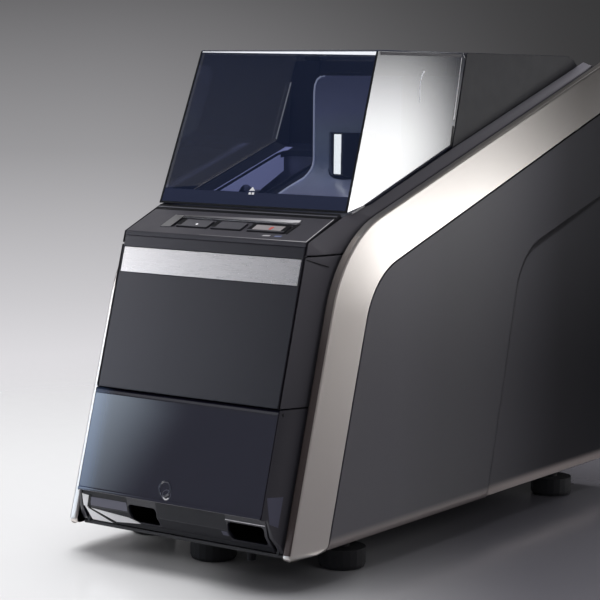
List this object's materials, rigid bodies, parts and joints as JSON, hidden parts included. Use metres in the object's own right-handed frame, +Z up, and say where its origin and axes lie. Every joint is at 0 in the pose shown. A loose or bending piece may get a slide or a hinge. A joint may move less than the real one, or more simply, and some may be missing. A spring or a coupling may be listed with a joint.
{
  "type": "automatic lens edger",
  "caption": "Bench lens edger with a leaning front, smoked hood and door, sloped key panel, silver side bands, and a swinging lens carriage over belt-driven grinding wheels.",
  "frame": {"origin": "centre of the bounding box at the underside of the feet", "axes": "+X to the right seen from the front, +Y towards the back, +Z up"},
  "size_m": [0.3286, 0.712, 0.563],
  "materials": {
    "charcoal_cover": "fine satin texture",
    "dark_cover": "satin",
    "satin_band": "satin",
    "brushed_trim": "brushed along its length",
    "smoked_glazing": "polished smoked acrylic",
    "key_plastic": "satin",
    "black_plastic": "matt",
    "gloss_drum": "gloss",
    "foot_rubber": "matt",
    "chassis_paint": "powder coat",
    "rear_paint": "powder coat",
    "machined_steel": "machined",
    "cast_alloy": "cast",
    "grinding_grit": "bonded grit"
  },
  "bodies": {
    "machine": {"rear_panel": "rear_paint", "chassis_side_right": "chassis_paint", "chassis_side_left": "chassis_paint", "lower_bezel": "dark_cover", "power_inlet": "black_plastic", "chamber_tub": "cast_alloy", "fan_frame": "black_plastic", "front_frame": "charcoal_cover", "spindle_housing": "cast_alloy", "control_panel": "charcoal_cover", "band_right": "satin_band", "band_left": "satin_band", "water_nozzle": "machined_steel", "upper_housing": "charcoal_cover", "side_panel_right": "charcoal_cover", "side_panel_left": "charcoal_cover", "drive_belt": "foot_rubber", "foot_front_right": "foot_rubber", "foot_front_left": "foot_rubber", "foot_rear_right": "foot_rubber", "foot_rear_left": "foot_rubber", "foot_front_centre": "foot_rubber", "deck": "dark_cover", "tower_cover": "dark_cover", "drive_motor": "chassis_paint", "shoulder_right": "charcoal_cover", "shoulder_left": "charcoal_cover", "tool_head": "gloss_drum", "drain_pipe": "black_plastic", "hood_bracket_right": "black_plastic", "hood_bracket_left": "black_plastic", "pivot_shaft": "machined_steel", "front_cover": "dark_cover", "accessory_bin": "black_plastic", "door_pin_right": "machined_steel", "door_pin_left": "machined_steel", "hood_pin_right": "machined_steel", "hood_pin_left": "machined_steel", "panel_trim": "brushed_trim", "trim_strip": "brushed_trim", "base_plate": "chassis_paint"},
    "hood": {"hood": "smoked_glazing"},
    "door": {"door": "smoked_glazing"},
    "key_start": {"key_start": "key_plastic"},
    "key_mode": {"key_mode": "key_plastic"},
    "key_stop": {"key_stop": "key_plastic"},
    "carriage": {"carriage": "cast_alloy"},
    "left_chuck": {"chuck_shaft_left": "machined_steel"},
    "clamp_slider": {"clamp_slider": "cast_alloy"},
    "right_chuck": {"chuck_shaft_right": "machined_steel", "lens_pad": "foot_rubber"},
    "spindle": {"wheel_spindle": "machined_steel", "rough_wheel": "grinding_grit", "bevel_wheel": "grinding_grit", "polish_wheel": "grinding_grit", "spindle_pulley": "cast_alloy"},
    "motor_rotor": {"motor_pulley": "cast_alloy"},
    "fan_rotor": {"fan_rotor": "black_plastic"},
    "rocker": {"power_switch": "black_plastic"}
  },
  "joints": [
    {"name": "hood_hinge", "type": "hinge", "parent": "machine", "child": "hood", "pos_m": [0, 0.04191, 0.5575], "axis": [-1, 0, 0], "range_deg": [0, 60]},
    {"name": "door_hinge", "type": "hinge", "parent": "machine", "child": "door", "pos_m": [0, -0.3185, 0.1808], "axis": [-1, 0, 0], "range_deg": [0, 70]},
    {"name": "key_start_press", "type": "slide", "parent": "machine", "child": "key_start", "axis": [0, 0.3811, -0.9245], "range_m": [0, 0.0015], "stiffness_N_per_m": 600},
    {"name": "key_mode_press", "type": "slide", "parent": "machine", "child": "key_mode", "axis": [0, 0.3811, -0.9245], "range_m": [0, 0.0015], "stiffness_N_per_m": 600},
    {"name": "key_stop_press", "type": "slide", "parent": "machine", "child": "key_stop", "axis": [0, 0.3811, -0.9245], "range_m": [0, 0.0015], "stiffness_N_per_m": 600},
    {"name": "carriage_swing", "type": "hinge", "parent": "machine", "child": "carriage", "pos_m": [0, 0.01, 0.352], "axis": [1, 0, 0], "range_deg": [0, 20]},
    {"name": "lens_spin", "type": "hinge", "parent": "carriage", "child": "left_chuck", "pos_m": [0, -0.101, 0.389], "axis": [1, 0, 0], "continuous": true},
    {"name": "clamp_slide", "type": "slide", "parent": "carriage", "child": "clamp_slider", "axis": [-1, 0, 0], "range_m": [0, 0.025]},
    {"name": "clamp_spin", "type": "hinge", "parent": "clamp_slider", "child": "right_chuck", "pos_m": [0, -0.101, 0.389], "axis": [1, 0, 0], "continuous": true},
    {"name": "spindle_spin", "type": "hinge", "parent": "machine", "child": "spindle", "pos_m": [0, -0.071, 0.292], "axis": [1, 0, 0], "continuous": true},
    {"name": "motor_spin", "type": "hinge", "parent": "machine", "child": "motor_rotor", "pos_m": [0, -0.071, 0.104], "axis": [1, 0, 0], "continuous": true},
    {"name": "fan_spin", "type": "hinge", "parent": "machine", "child": "fan_rotor", "pos_m": [0.062, 0.324, 0.38], "axis": [0, 1, 0], "continuous": true},
    {"name": "power_rocker", "type": "hinge", "parent": "machine", "child": "rocker", "pos_m": [-0.046, 0.3421, 0.084], "axis": [1, 0, 0], "range_deg": [0, 20]}
  ],
  "couplings": [
    {"joint": "clamp_spin", "follows": "lens_spin", "ratio": 1},
    {"joint": "motor_spin", "follows": "spindle_spin", "ratio": 0.73333}
  ]
}
